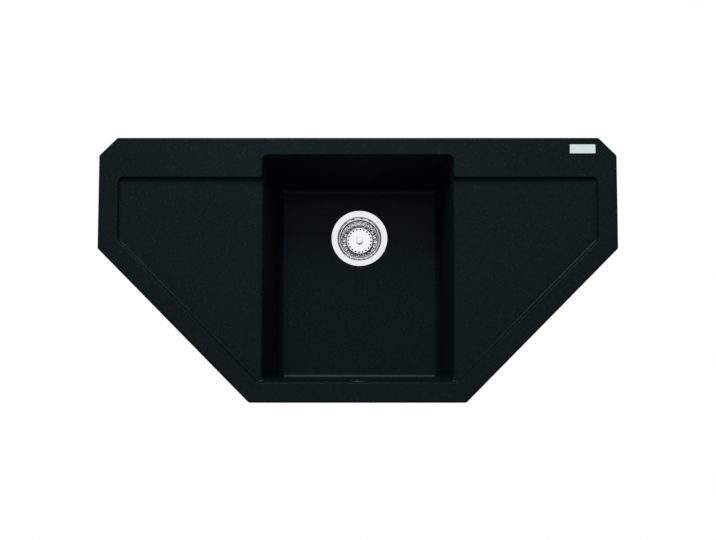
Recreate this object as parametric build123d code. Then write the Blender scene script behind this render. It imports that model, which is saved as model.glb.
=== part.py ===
from build123d import *
import os
from math import atan2, cos, degrees, hypot, radians, sin, tan

# Corner kitchen sink for a worktop, moulded in quartz composite, with its waste,
# basket strainer, overflow and worktop clips.
# X runs to the right, Y to the rear (the tap ledge) and Z up. Z = 0 is the flat
# underside of the rim, which rests on the worktop. Lengths are in millimetres.

# ---- Outline of the rim, seen from above ----
sink_width = 975.0
sink_depth = 500.0
front_width = 404.0
side_length = 211.0  # along Y, from the rear edge to the corner with the diagonal
rear_chamfer = 34.0
outline_corner_radius = 7.0
rim_height = 9.0
rim_edge_radius = 3.5

# ---- Drainers, one each side of the bowl ----
rim_margin = 37.0  # rim left around the drainers
ledge_depth = 76.0  # tap ledge behind the drainers
drainer_depth_outer = 8.0  # below the rim, at the outer end
drainer_depth_inner = 12.0  # below the rim, at the bowl
drainer_corner_radius = 9.0
drainer_cove_radius = 5.0

# ---- Bowl ----
bowl_width = 360.0
bowl_rear_margin = 33.0
bowl_depth = 200.0
bowl_draft = 5.5
bowl_corner_radius = 9.0  # rear corners
bowl_front_corner_radius = 13.0
bowl_cove_radius = 14.0
bowl_edge_radius = 5.0  # rolled edge between a drainer and the bowl
opening_edge_radius = 2.0  # top edge of the whole recess

# ---- Moulded wall ----
wall = 8.0
floor_thickness = 10.0
skirt_depth = 18.0  # downstand that drops into the worktop cut-out
boss_length = 30.0  # of a clip boss, inwards from the clamping screw
boss_width = 36.0
tap_hole_radius = 17.5
tap_hole_skin = 3.0  # left on top, to be knocked out for a tap
tap_hole_spacing = 460.0
skirt_inset = 21.0  # from the rim's edge to the downstand
tap_boss_radius = 24.0
tap_boss_depth = 8.0
tap_hole_y = 201.5

# ---- Sealing strip and plate ----
seal_inset = 6.0
seal_width = 6.0
seal_height = 2.5
seal_side_gap = 0.2
plate_length = 48.0
plate_width = 17.0
plate_thickness = 0.8
plate_side_margin = 64.5  # from the side of the outline to the plate's middle
plate_rear_margin = 22.0
plate_corner_radius = 1.0

# ---- Worktop clips ----
clip_inset = 39.0  # from the rim's edge to the clamping screw
clip_rear_x = 310.0
clip_side_y = 130.0
clip_diagonal_shares = (0.22, 0.74)  # along each diagonal, from the side
bracket_width = 22.0
bracket_sheet = 2.0
bracket_height = 50.0
bracket_back = 7.0  # from the screw's axis to the inside of the bracket's back
bracket_foot = 22.0  # from the screw's axis to the end of the top flange
bracket_toe = 8.0
bracket_bend_radius = 3.0
clamp_screw_radius = 3.0
clamp_running_gap = 0.05
clamp_head_radius = 5.5
clamp_head_height = 4.0
clamp_head_gap = 0.3
clamp_collar_height = 1.5  # holds the screw in the bottom flange
clamp_hole_gap = 0.8  # around the screw's end in the boss
clamp_hole_depth = 4.0
clamp_slot_width = 1.4
clamp_lead = 5.0  # climb of the jaw for one turn of the screw
clamp_travel = 25.0
jaw_hub_height = 12.0
jaw_hub_half = 6.5
jaw_width = 14.0
jaw_reach = 35.0
jaw_nose_height = 6.0
jaw_lift = 5.0  # how far the jaw's biting tip stands above its hub
jaw_slide_gap = 0.3
anchor_screw_x = -15.0
anchor_screw_radius = 2.0
anchor_head_radius = 3.8
anchor_head_height = 2.4
anchor_length = 10.0
insert_radius = 4.0
insert_length = 11.0

# ---- Waste, on one upright axis ----
waste_rear_margin = 123.0  # from the bowl's rear edge to the waste's axis
waste_hole_radius = 45.0
flange_radius = 56.5
flange_recess_gap = 1.5
flange_recess_depth = 1.6
flange_gasket_height = 1.0
flange_gasket_inner = 47.0
sheet = 1.2  # stainless sheet of the waste cup
flange_inner_radius = 45.6
flange_fall = 0.8  # the flange slopes down towards the cup
cup_radius = 42.6  # inside
cup_depth = 37.0  # from the bowl floor to the inside of the cup's floor
cup_mouth_radius = 3.0
cup_foot_radius = 5.0
throat_radius = 24.0
hub_radius = 9.0
spoke_width = 9.0
spoke_count = 3
centre_screw_radius = 3.0
centre_screw_head_radius = 4.2
centre_screw_head_height = 4.0
centre_insert_radius = 5.0
centre_insert_length = 12.0
body_gasket_height = 2.0
body_flange_radius = 58.0
body_flange_height = 4.0
chamber_radius = 50.0  # inside
body_wall = 3.0
chamber_floor_depth = 50.0  # below the bowl floor
funnel_height = 12.0
outlet_radius = 23.9  # 1 1/2 inch pipe thread
outlet_wall = 3.4
outlet_length = 36.0
rib_thickness = 3.0
insert_hub_radius = 8.0

# ---- Basket strainer, lifted out by its knob ----
basket_sheet = 0.9
basket_rim_radius = 40.3
basket_rim_width = 3.2
basket_rim_drop = 5.0  # below the bowl floor
basket_shoulder_drop = 2.4
basket_wall_top_radius = 36.4
basket_wall_foot_radius = 26.8
basket_floor_drop = 27.0
basket_bend_radius = 1.6
wall_hole_count = 20
wall_hole_radius = 3.0
floor_hole_radius = 1.4
floor_hole_circle = 24.0
knob_radius = 6.5
knob_neck_radius = 4.0
knob_height = 12.0
knob_neck_height = 6.6
knob_edge_radius = 1.5
stem_radius = 2.5
stem_gap = 0.1
stem_grip = 9.0  # how far the stem reaches into the knob
seal_plate_radius = 27.0
seal_web = 2.0
basket_seal_inner = 20.0
basket_seal_gap = 0.3
catch_outer_radius = 8.0
catch_neck_radius = 6.0
catch_collar_height = 3.6
catch_head_gap = 0.4  # around the centre screw's head
catch_end_gap = 0.5  # above it
catch_finger_count = 4
catch_slot_width = 2.0
basket_lift = 260.0

# ---- Overflow, in the front wall of the bowl ----
overflow_depth = 55.0  # below the rim
overflow_hole_radius = 15.0
rosette_radius = 21.0
rosette_thickness = 2.2
rosette_slot_count = 6
rosette_slot_width = 3.6
rosette_slot_start = 6.5
rosette_slot_end = 13.0
overflow_screw_radius = 2.5
overflow_screw_head_radius = 4.6
overflow_screw_head_height = 1.8
overflow_gasket_height = 2.0
elbow_flange_radius = 24.0
elbow_flange_thickness = 3.0
elbow_wall = 2.5
elbow_chamber_depth = 7.0
elbow_chamber_radius = 17.0
stub_drop = 16.0  # from the overflow's middle down to the elbow's knee
stub_length = 42.0  # from the knee to the end of the stub
stub_clearance = 1.5  # between the stub and the outside of the bowl
stub_wall = 2.4
hose_radius = 9.0
hose_wall = 1.5
hose_fit_gap = 0.1
hose_entry = 12.0
hose_turn_rise = 5.0  # of the hose's first corner above the bowl's underside
hose_sag = 31.0  # of its lowest corner below the bowl's underside
hose_under_run = 48.0  # along Y from the first corner to the lowest
hose_level_run = 100.0  # along Y in front of the port
nut_wall = 2.2
nut_length = 16.0
nut_flute_count = 12
nut_flute_radius = 1.0
washer_height = 3.0
port_drop = 31.0  # from the bowl floor to the overflow port's axis
port_length = 27.0  # beyond the outside of the waste body

# ---- Heights and places worked out from the sizes above ----
rim_top = rim_height
floor_top = rim_top - bowl_depth
floor_under = floor_top - floor_thickness
rear_y = sink_depth / 2
front_y = -sink_depth / 2
side_x = sink_width / 2
bowl_rear_y = rear_y - bowl_rear_margin
bowl_front_y = front_y + rim_margin
bowl_side_x = bowl_width / 2
drainer_rear_y = rear_y - ledge_depth
draft_slope = tan(radians(bowl_draft))
plate_x = side_x - plate_side_margin
plate_y = rear_y - plate_rear_margin
waste_y = bowl_rear_y - waste_rear_margin
body_top = floor_under - body_gasket_height
chamber_floor = floor_top - chamber_floor_depth
outlet_end = chamber_floor - body_wall - funnel_height - outlet_length
insert_low = chamber_floor - body_wall - funnel_height - centre_insert_length
jaw_rest = -bracket_height + bracket_sheet + 2 * clamp_head_gap + clamp_collar_height
basket_foot = floor_top - basket_floor_drop
stem_top = basket_foot + stem_grip
catch_bore_radius = centre_screw_head_radius + catch_head_gap
catch_collar_foot = basket_foot - basket_sheet - catch_collar_height
catch_bore_top = floor_top - cup_depth + centre_screw_head_height + catch_end_gap
seal_foot = floor_top - cup_depth + basket_seal_gap
hose_bore = hose_radius + hose_fit_gap
stub_outer = hose_bore + stub_wall
overflow_z = rim_top - overflow_depth
stub_top = overflow_z - stub_drop
stub_bottom = stub_top - stub_length
outside_at_stub = bowl_front_y + (rim_top - stub_top) * draft_slope - wall / cos(radians(bowl_draft))
stub_y = outside_at_stub - stub_clearance - stub_outer
port_z = floor_top - port_drop
port_end = waste_y - chamber_radius - body_wall - port_length
overcut = 20.0  # how far a cutting shape runs past the material


def outline_points():
    """Corners of the rim's outline, anticlockwise from the front left."""
    half_front = front_width / 2
    side_corner_y = rear_y - side_length
    return [
        (-half_front, front_y),
        (half_front, front_y),
        (side_x, side_corner_y),
        (side_x, rear_y - rear_chamfer),
        (side_x - rear_chamfer, rear_y),
        (-side_x + rear_chamfer, rear_y),
        (-side_x, rear_y - rear_chamfer),
        (-side_x, side_corner_y),
    ]


def outline_face(inset, corner_radius):
    """The rim's outline moved inwards by inset, with its corners rounded."""
    face = Polygon(*outline_points(), align=None)
    if inset > 0:
        face = offset(face, amount=-inset, kind=Kind.INTERSECTION)
    return fillet(face.vertices(), corner_radius) if corner_radius > 0 else face


def prism(face, low, high):
    """An upright prism of a flat face drawn at Z = 0."""
    return Pos(0, 0, low) * extrude(face, amount=high - low)


def drafted(face, top, bottom, angle):
    """A block of a flat plan at the height top, narrowing downwards to bottom by a draft angle."""
    block = prism(face, bottom, top)
    sides = [f for f in block.faces() if abs(f.normal_at().Z) < 0.5]
    return draft(sides, Plane.XY.offset(top), -angle)


def upright_edges(shape):
    """Straight edges that run from the top of a drafted block to its bottom."""
    return [e for e in shape.edges() if abs((e @ 1 - e @ 0).Z) > 0.9 * shape.bounding_box().size.Z]


def drainer_floor_height(x):
    """Height of a drainer's floor at a distance x from the middle of the sink."""
    outer_x = side_x - rim_margin
    share = (x - bowl_side_x) / (outer_x - bowl_side_x)
    return rim_top - drainer_depth_inner + share * (drainer_depth_inner - drainer_depth_outer)


def above_drainer_floor(drop):
    """Everything above the right-hand drainer's sloping floor, moved down by drop."""
    inner_x = 0
    section = Polyline(
        (inner_x, drainer_floor_height(inner_x) - drop),
        (side_x, drainer_floor_height(side_x) - drop),
        (side_x, rim_top + overcut),
        (inner_x, rim_top + overcut),
        close=True,
    )
    return extrude(Plane.XZ * make_face(section), amount=sink_depth, both=True)


def drainer_cut():
    """Space of the right-hand drainer: a sloping floor with a cove at the foot of its wall."""
    inner_x = bowl_side_x - overcut
    region = Pos(inner_x, front_y) * Rectangle(
        side_x, sink_depth - ledge_depth, align=(Align.MIN, Align.MIN)
    )
    plan = outline_face(rim_margin, 0) & region
    block = drafted(plan, rim_top, rim_top - drainer_depth_inner - overcut, bowl_draft)
    corners = [e for e in upright_edges(block) if e.center().X > bowl_side_x]
    block = fillet(corners, drainer_corner_radius)
    space = block & above_drainer_floor(0)
    floor = space.faces().sort_by(Axis.Z)[0]
    foot = [e for e in floor.edges() if e.center().X > inner_x + overcut / 4]
    return fillet(foot, drainer_cove_radius)


def bowl_block(grown, bottom):
    """The bowl's drafted form down to bottom, grown outwards from its inside face."""
    depth = bowl_rear_y - bowl_front_y
    plan = Pos(0, (bowl_rear_y + bowl_front_y) / 2) * Rectangle(bowl_width + 2 * grown, depth + 2 * grown)
    block = drafted(plan, rim_top, bottom, bowl_draft)
    corners = upright_edges(block)
    block = fillet([e for e in corners if e.center().Y > 0], bowl_corner_radius + grown)
    corners = upright_edges(block)
    block = fillet([e for e in corners if e.center().Y < 0], bowl_front_corner_radius + grown)
    return fillet(block.faces().sort_by(Axis.Z)[0].edges(), bowl_cove_radius + grown)


def clip_places():
    """Place of each clip: its clamping screw's X and Y, and its outward direction in degrees."""
    half_front = front_width / 2
    side_corner_y = rear_y - side_length
    run_x = side_x - half_front
    run_y = side_corner_y - front_y
    run = hypot(run_x, run_y)
    outward = (run_y / run, -run_x / run)
    places = [(clip_rear_x, rear_y - clip_inset, 90.0), (side_x - clip_inset, clip_side_y, 0.0)]
    for share in clip_diagonal_shares:
        x = side_x - share * run_x - clip_inset * outward[0]
        y = side_corner_y - share * run_y - clip_inset * outward[1]
        places.append((x, y, degrees(atan2(outward[1], outward[0]))))
    mirrored = [(-x, y, 180.0 - turn) for x, y, turn in places]
    return places + mirrored


def at_clip(place):
    """Frame of a clip: its origin on the screw's axis at the skirt's foot, X outwards."""
    x, y, turn = place
    return Pos(x, y, -skirt_depth) * Rot(0, 0, turn)


def flange_height(radius):
    """Height of the waste flange's top at a radius."""
    outer_top = floor_top - flange_recess_depth + flange_gasket_height + sheet
    share = (flange_radius - radius) / (flange_radius - flange_inner_radius)
    return outer_top - share * flange_fall


def at_waste(height):
    """Frame on the waste's axis at a height."""
    return Pos(0, waste_y, height)


def at_overflow():
    """Frame on the inside of the front wall at the overflow, with Z pointing into the bowl."""
    y = bowl_front_y + overflow_depth * draft_slope
    lean = radians(bowl_draft)
    return Plane(origin=(0, y, overflow_z), x_dir=(1, 0, 0), z_dir=(0, cos(lean), sin(lean))).location


def outline_ring(inset, width):
    """A band that follows the outline at an inset, with its outer and inner corners rounded."""
    outer = outline_face(inset, outline_corner_radius)
    return outer - outline_face(inset + width, max(outline_corner_radius - width, 1.0))


def sink_space():
    """Everything that is open above: both drainers and the bowl."""
    right = drainer_cut()
    bowl = bowl_block(0, floor_top)
    return right + mirror(right, Plane.YZ) + bowl


def tray():
    """Rim, drainer tray and downstand, hollow underneath, with the clip and tap bosses."""
    low = -skirt_depth - overcut
    body = prism(outline_face(0, outline_corner_radius), 0, rim_top)
    body += prism(outline_face(skirt_inset, outline_corner_radius), -skirt_depth, 0)
    inside = outline_face(skirt_inset + wall, outline_corner_radius)
    behind = Pos(0, drainer_rear_y + wall) * Rectangle(
        sink_width, sink_depth, align=(Align.CENTER, Align.MIN)
    )
    body -= prism(inside & behind, low, 0)
    floors = above_drainer_floor(wall)
    body -= prism(inside - behind, low, rim_top) - floors - mirror(floors, Plane.YZ)
    for place in clip_places():
        boss = Pos(-boss_length, 0) * Rectangle(
            boss_length + clip_inset - skirt_inset - wall / 2, boss_width, align=(Align.MIN, Align.CENTER)
        )
        body += at_clip(place) * extrude(boss, amount=skirt_depth + rim_top)
    for side in (-1, 1):
        body += Pos(side * tap_hole_spacing / 2, tap_hole_y) * prism(
            Circle(tap_boss_radius), -tap_boss_depth, rim_top
        )
    return body


def sink_body():
    """The moulded sink: rim, drainers and bowl in one piece."""
    body = tray()
    body += bowl_block(wall, floor_under)
    body -= sink_space()
    rolled = [
        e
        for e in body.edges().filter_by(GeomType.LINE)
        if abs((e @ 1 - e @ 0).Y) > 0.6 * (drainer_rear_y - bowl_front_y)
        and abs(abs(e.center().X) - bowl_side_x) < overcut / 4
        and e.center().Z > rim_top - 2 * drainer_depth_inner
    ]
    body = fillet(rolled, bowl_edge_radius)
    top = [f for f in body.faces().filter_by(GeomType.PLANE) if abs(f.center().Z - rim_top) < 0.01][0]
    body = fillet(top.inner_wires()[0].edges(), opening_edge_radius)
    top = [f for f in body.faces().filter_by(GeomType.PLANE) if abs(f.center().Z - rim_top) < 0.01][0]
    body = fillet(top.outer_wire().edges(), rim_edge_radius)
    body -= prism(
        outline_ring(seal_inset - seal_side_gap, seal_width + 2 * seal_side_gap), -overcut, seal_height
    )
    for side in (-1, 1):
        body -= Pos(side * tap_hole_spacing / 2, tap_hole_y) * prism(
            Circle(tap_hole_radius), -overcut, rim_top - tap_hole_skin
        )
    for place in clip_places():
        body -= at_clip(place) * prism(Circle(clamp_screw_radius + clamp_hole_gap), -overcut, clamp_hole_depth)
        body -= at_clip(place) * Pos(anchor_screw_x, 0) * prism(Circle(insert_radius), -overcut, insert_length)
    body -= at_waste(0) * prism(Circle(waste_hole_radius), floor_under - overcut, floor_top + overcut)
    body -= at_waste(0) * prism(
        Circle(flange_radius + flange_recess_gap), floor_top - flange_recess_depth, floor_top + overcut
    )
    body -= at_overflow() * prism(Circle(overflow_hole_radius), -2 * wall, wall)
    return body


def rim_seal():
    """Foam strip in the groove under the rim."""
    return prism(outline_ring(seal_inset, seal_width), 0, seal_height)


def badge_plate():
    """Plain metal plate on the tap ledge."""
    face = Pos(plate_x, plate_y) * RectangleRounded(plate_length, plate_width, plate_corner_radius)
    return prism(face, rim_top, rim_top + plate_thickness)


# ---- Worktop clips ----
def clip_bracket():
    """Bent strip that hangs under the sink: top flange, back and bottom flange."""
    low = -bracket_height
    strip = Polyline(
        (bracket_toe, 0),
        (-bracket_back - bracket_sheet, 0),
        (-bracket_back - bracket_sheet, low),
        (bracket_toe, low),
        (bracket_toe, low + bracket_sheet),
        (-bracket_back, low + bracket_sheet),
        (-bracket_back, -bracket_sheet),
        (bracket_toe, -bracket_sheet),
        close=True,
    )
    section = make_face(strip)
    bend = [v for v in section.vertices() if v.X < -bracket_back - bracket_sheet / 2]
    section = fillet([v for v in bend if v.Y < low / 2], bracket_bend_radius)
    body = extrude(Plane.XZ * section, amount=bracket_width / 2, both=True)
    foot = Pos(-bracket_foot, 0) * Rectangle(
        bracket_foot, bracket_width, align=(Align.MIN, Align.CENTER)
    )
    body += prism(foot, -bracket_sheet, 0)
    running = clamp_screw_radius + clamp_running_gap
    body -= prism(Circle(running), low - overcut, overcut)
    body -= Pos(anchor_screw_x, 0) * prism(Circle(anchor_screw_radius), -overcut, overcut)
    return body


def anchor_screw():
    """Pan-head screw that holds a bracket to the insert in its boss."""
    top = -bracket_sheet + anchor_length
    screw = prism(Circle(anchor_screw_radius), -bracket_sheet, top)
    head = prism(Circle(anchor_head_radius), -bracket_sheet - anchor_head_height, -bracket_sheet)
    head = fillet(head.edges().group_by(Axis.Z)[0], anchor_head_height / 3)
    return Pos(anchor_screw_x, 0) * (screw + head)


def anchor_insert():
    """Brass insert moulded into a boss."""
    ring = Circle(insert_radius) - Circle(anchor_screw_radius)
    return Pos(anchor_screw_x, 0) * prism(ring, 0, insert_length)


def clamp_screw():
    """Long screw that turns in the bracket and drives the jaw; its head is below."""
    low = -bracket_height
    head_top = low - clamp_head_gap
    shank = prism(Circle(clamp_screw_radius), head_top, clamp_hole_depth - clamp_head_gap)
    collar_foot = low + bracket_sheet + clamp_head_gap
    collar = prism(Circle(clamp_head_radius), collar_foot, collar_foot + clamp_collar_height)
    head = prism(Circle(clamp_head_radius), head_top - clamp_head_height, head_top)
    head = fillet(head.edges().group_by(Axis.Z)[0], clamp_head_height / 3)
    slot = Box(3 * clamp_head_radius, clamp_slot_width, clamp_head_height)
    return shank + collar + head - Pos(0, 0, head_top - clamp_head_height) * slot


def clip_jaw():
    """Jaw that climbs the screw and presses up under the worktop."""
    back = -bracket_back + jaw_slide_gap
    low = jaw_rest
    tip = low + jaw_hub_height + jaw_lift
    section = make_face(
        Polyline(
            (back, low),
            (jaw_hub_half, low),
            (jaw_reach, tip - jaw_nose_height),
            (jaw_reach, tip),
            (jaw_reach - jaw_nose_height, tip),
            (jaw_reach - 2 * jaw_nose_height, tip - jaw_nose_height / 2),
            (jaw_hub_half, low + jaw_hub_height),
            (back, low + jaw_hub_height),
            close=True,
        )
    )
    body = extrude(Plane.XZ * section, amount=jaw_width / 2, both=True)
    return body - prism(Circle(clamp_screw_radius + clamp_running_gap), low - overcut, tip + overcut)


# ---- Waste ----
def revolved(points, radii=None):
    """A solid turned about Z from corners (radius, height); radii rounds corners by their number."""
    face = make_face(Polyline(*points, close=True))
    for number, radius in (radii or {}).items():
        corner = Vector(*points[number])
        nearest = min(face.vertices(), key=lambda v: (Vector(v.X, v.Y) - corner).length)
        face = fillet(nearest, radius)
    return revolve(Plane.XZ * face, axis=Axis.Z)


def ring_of(shape, count, start=0.0):
    """Copies of a shape spaced evenly about Z."""
    return [Rot(0, 0, start + n * 360 / count) * shape for n in range(count)]


def waste_cup():
    """Pressed stainless cup with its flange in the bowl's floor and a three-spoked bottom."""
    outer = cup_radius + sheet
    cup_floor = floor_top - cup_depth
    cup = revolved(
        [
            (flange_radius, flange_height(flange_radius)),
            (cup_radius, flange_height(cup_radius)),
            (cup_radius, cup_floor),
            (throat_radius, cup_floor),
            (throat_radius, cup_floor - sheet),
            (outer, cup_floor - sheet),
            (outer, flange_height(outer) - sheet),
            (flange_radius, flange_height(flange_radius) - sheet),
        ],
        {1: cup_mouth_radius, 2: cup_foot_radius, 5: cup_foot_radius + sheet, 6: cup_mouth_radius - sheet},
    )
    spoke = Rectangle(throat_radius + sheet, spoke_width, align=(Align.MIN, Align.CENTER))
    bottom = Circle(hub_radius)
    for bar in ring_of(spoke, spoke_count, 90.0):
        bottom += bar
    cup += prism(bottom, cup_floor - sheet, cup_floor)
    return cup - prism(Circle(centre_screw_radius + stem_gap), cup_floor - overcut, cup_floor + overcut)


def flange_gasket():
    """Soft ring between the flange and the bowl's floor."""
    seat = floor_top - flange_recess_depth
    return revolved(
        [
            (flange_radius, seat),
            (flange_radius, flange_height(flange_radius) - sheet),
            (flange_gasket_inner, flange_height(flange_gasket_inner) - sheet),
            (flange_gasket_inner, seat),
        ]
    )


def body_gasket():
    """Rubber ring between the bowl's underside and the waste body."""
    return prism(Circle(body_flange_radius) - Circle(chamber_radius), body_top, floor_under)


def waste_body():
    """Moulded chamber under the bowl with its pipe outlet, overflow port and centre insert hub."""
    outer = chamber_radius + body_wall
    low = chamber_floor - body_wall
    neck = low - funnel_height
    bore = outlet_radius - outlet_wall
    body = revolved(
        [
            (chamber_radius, body_top),
            (body_flange_radius, body_top),
            (body_flange_radius, body_top - body_flange_height),
            (outer, body_top - body_flange_height),
            (outer, low),
            (outlet_radius, neck),
            (outlet_radius, outlet_end),
            (bore, outlet_end),
            (bore, neck + body_wall),
            (chamber_radius, chamber_floor),
        ],
        {4: 2 * body_wall, 9: body_wall},
    )
    port = Plane(origin=(0, 0, port_z), x_dir=(1, 0, 0), z_dir=(0, -1, 0))
    length = outer + port_length
    body += port * Pos(0, 0, chamber_radius) * extrude(Circle(stub_outer), amount=length - chamber_radius)
    body -= port * extrude(Circle(hose_radius - hose_wall), amount=length)
    body -= port * Pos(0, 0, length - hose_entry) * extrude(Circle(hose_bore), amount=hose_entry)
    hub = prism(Circle(insert_hub_radius), insert_low, insert_low + centre_insert_length)
    rib = Rectangle(bore + outlet_wall / 2, rib_thickness, align=(Align.MIN, Align.CENTER))
    for bar in ring_of(prism(rib, insert_low, insert_low + centre_insert_length), spoke_count, 90.0):
        hub += bar
    body += hub
    return body - prism(Circle(centre_insert_radius), insert_low - overcut, body_top - overcut)


def centre_screw():
    """Screw that draws the cup down onto the waste body."""
    seat = floor_top - cup_depth
    screw = prism(Circle(centre_screw_radius), insert_low + body_wall, seat)
    head = prism(Circle(centre_screw_head_radius), seat, seat + centre_screw_head_height)
    head = fillet(head.edges().group_by(Axis.Z)[-1], centre_screw_head_height / 4)
    slot = Pos(0, 0, seat + centre_screw_head_height) * Box(3 * centre_screw_head_radius, sheet, sheet * 2)
    return screw + head - slot


def centre_insert():
    """Brass nut insert in the waste body's hub."""
    ring = Circle(centre_insert_radius) - Circle(centre_screw_radius)
    return prism(ring, insert_low, insert_low + centre_insert_length)


# ---- Basket strainer ----
def basket():
    """Pressed strainer basket: flat rim, tapered wall with round holes, floor with small holes."""
    rim = floor_top - basket_rim_drop
    shoulder = rim - basket_shoulder_drop
    bottom = floor_top - basket_floor_drop
    inner_rim = basket_rim_radius - basket_rim_width
    slant = hypot(basket_wall_top_radius - basket_wall_foot_radius, shoulder - bottom)
    shift = basket_sheet * slant / (shoulder - bottom)
    body = revolved(
        [
            (basket_rim_radius, rim),
            (inner_rim, rim),
            (basket_wall_top_radius, shoulder),
            (basket_wall_foot_radius, bottom),
            (stem_radius + stem_gap, bottom),
            (stem_radius + stem_gap, bottom - basket_sheet),
            (basket_wall_foot_radius + shift - basket_sheet / 2, bottom - basket_sheet),
            (basket_wall_top_radius + shift, shoulder - basket_sheet / 2),
            (inner_rim + basket_sheet, rim - basket_sheet),
            (basket_rim_radius - basket_sheet, rim - basket_sheet),
            (basket_rim_radius - basket_sheet, rim - basket_shoulder_drop),
            (basket_rim_radius, rim - basket_shoulder_drop),
        ],
        {3: basket_bend_radius, 6: basket_bend_radius + basket_sheet, 0: basket_sheet / 2},
    )
    middle = ((basket_wall_top_radius + basket_wall_foot_radius) / 2, (shoulder + bottom) / 2)
    lean = degrees(atan2(basket_wall_top_radius - basket_wall_foot_radius, shoulder - bottom))
    drill = Pos(middle[0], 0, middle[1]) * Rot(0, 90 + lean, 0)
    drill = drill * Cylinder(wall_hole_radius, 6 * basket_sheet)
    pitch = 360 / wall_hole_count
    body -= ring_of(drill, wall_hole_count, pitch / 2)
    small = Pos(floor_hole_circle, 0, bottom) * Cylinder(floor_hole_radius, 6 * basket_sheet)
    return body - ring_of(small, wall_hole_count, 0.0)


def basket_knob():
    """Turned knob that the basket is lifted by."""
    foot = basket_foot
    neck = foot + knob_neck_height
    knob = revolved(
        [
            (0, foot + knob_height),
            (knob_radius, foot + knob_height),
            (knob_radius, neck + knob_edge_radius),
            (knob_neck_radius, neck),
            (knob_neck_radius, foot),
            (0, foot),
        ],
        {1: knob_edge_radius, 2: knob_edge_radius / 2},
    )
    return knob - prism(Circle(stem_radius + stem_gap), foot - overcut, stem_top)


def basket_stem():
    """Stem that joins the knob, basket and catch."""
    return prism(Circle(stem_radius), catch_bore_top, stem_top)


def basket_seal():
    """Rubber seal under the basket, which closes on the cup's floor."""
    top = catch_collar_foot
    neck = catch_neck_radius + stem_gap
    return revolved(
        [
            (neck, top),
            (basket_seal_inner, top),
            (seal_plate_radius, top - basket_sheet),
            (seal_plate_radius, seal_foot),
            (basket_seal_inner + basket_sheet, seal_foot),
            (basket_seal_inner, top - seal_web),
            (neck, top - seal_web),
        ],
        {2: basket_sheet / 2},
    )


def stem_catch():
    """Plastic collar with spring fingers that close round the head of the centre screw."""
    top = basket_foot - basket_sheet
    body = revolved(
        [
            (stem_radius + stem_gap, top),
            (catch_outer_radius, top),
            (catch_outer_radius, catch_collar_foot),
            (catch_neck_radius, catch_collar_foot),
            (catch_neck_radius, seal_foot),
            (catch_bore_radius, seal_foot),
            (catch_bore_radius, catch_bore_top),
            (stem_radius + stem_gap, catch_bore_top),
        ]
    )
    slot = Rectangle(2 * catch_outer_radius, catch_slot_width, align=(Align.MIN, Align.CENTER))
    cut = prism(slot, seal_foot - overcut, catch_collar_foot - seal_web)
    return body - ring_of(cut, catch_finger_count, 0.0)


# ---- Overflow ----
def rosette():
    """Slotted cover of the overflow."""
    disc = prism(Circle(rosette_radius), 0, rosette_thickness)
    disc = fillet(disc.edges().group_by(Axis.Z)[-1], rosette_thickness / 2)
    slot = SlotCenterToCenter(rosette_slot_end - rosette_slot_start, rosette_slot_width)
    slot = Pos((rosette_slot_end + rosette_slot_start) / 2, 0) * slot
    disc -= ring_of(prism(slot, -overcut, overcut), rosette_slot_count, 90.0)
    return disc - prism(Circle(overflow_screw_radius + stem_gap), -overcut, overcut)


def overflow_screw():
    """Screw through the middle of the overflow cover."""
    tip = -wall - overflow_gasket_height - elbow_flange_thickness - elbow_chamber_depth + elbow_wall
    head_top = rosette_thickness + overflow_screw_head_height
    screw = prism(Circle(overflow_screw_radius), tip, rosette_thickness)
    head = prism(Circle(overflow_screw_head_radius), rosette_thickness, head_top)
    head = fillet(head.edges().group_by(Axis.Z)[-1], overflow_screw_head_height / 2)
    slot = Pos(0, 0, head_top) * Box(3 * overflow_screw_head_radius, sheet, overflow_screw_head_height)
    return screw + head - slot


def overflow_gasket():
    """Rubber ring between the bowl's wall and the overflow elbow."""
    ring = Circle(elbow_flange_radius) - Circle(elbow_chamber_radius)
    return prism(ring, -wall - overflow_gasket_height, -wall)


def overflow_elbow():
    """Moulded elbow that takes the overflow down to its hose."""
    seat = -wall - overflow_gasket_height
    back = seat - elbow_flange_thickness - elbow_chamber_depth
    outside = prism(Circle(elbow_flange_radius), seat - elbow_flange_thickness, seat)
    chamber = prism(Circle(elbow_chamber_radius + elbow_wall), back - elbow_wall, seat)
    chamber = fillet(chamber.edges().group_by(Axis.Z)[0], elbow_wall)
    body = at_overflow() * (outside + chamber)
    knee = Pos(0, stub_y, stub_top)
    body += knee * Sphere(stub_outer)
    body += Pos(0, stub_y) * prism(Circle(stub_outer), stub_bottom, stub_top)
    body -= at_overflow() * prism(Circle(elbow_chamber_radius), back, seat + overcut)
    body -= knee * Sphere(hose_bore)
    body -= Pos(0, stub_y) * prism(Circle(hose_bore), stub_bottom - overcut, stub_top)
    pillar = prism(Circle(2 * overflow_screw_radius), back - elbow_wall / 2, seat - elbow_flange_thickness)
    body += at_overflow() * pillar
    return body - at_overflow() * prism(Circle(overflow_screw_radius), back, seat)


def hose():
    """Overflow hose, from the elbow down and under the bowl to the port of the waste body."""
    points = [
        (0, stub_y, stub_bottom + hose_entry),
        (0, stub_y, floor_under + hose_turn_rise),
        (0, stub_y + hose_under_run, floor_under - hose_sag),
        (0, port_end - hose_level_run, port_z),
        (0, port_end + hose_entry, port_z),
    ]
    route = [Vector(*point) for point in points]
    runs = [b - a for a, b in zip(route, route[1:])]
    turns = [a.get_angle(b) for a, b in zip(runs, runs[1:])]
    shorter = [min(a.length, b.length) for a, b in zip(runs, runs[1:])]
    radii = [0.45 * run / tan(radians(turn) / 2) for run, turn in zip(shorter, turns)]
    print("hose bend radii", [round(radius, 1) for radius in radii])
    path = FilletPolyline(*route, radius=radii)
    start = Plane(origin=route[0], z_dir=runs[0])
    return sweep(start * (Circle(hose_radius) - Circle(hose_radius - hose_wall)), path=path)


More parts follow.
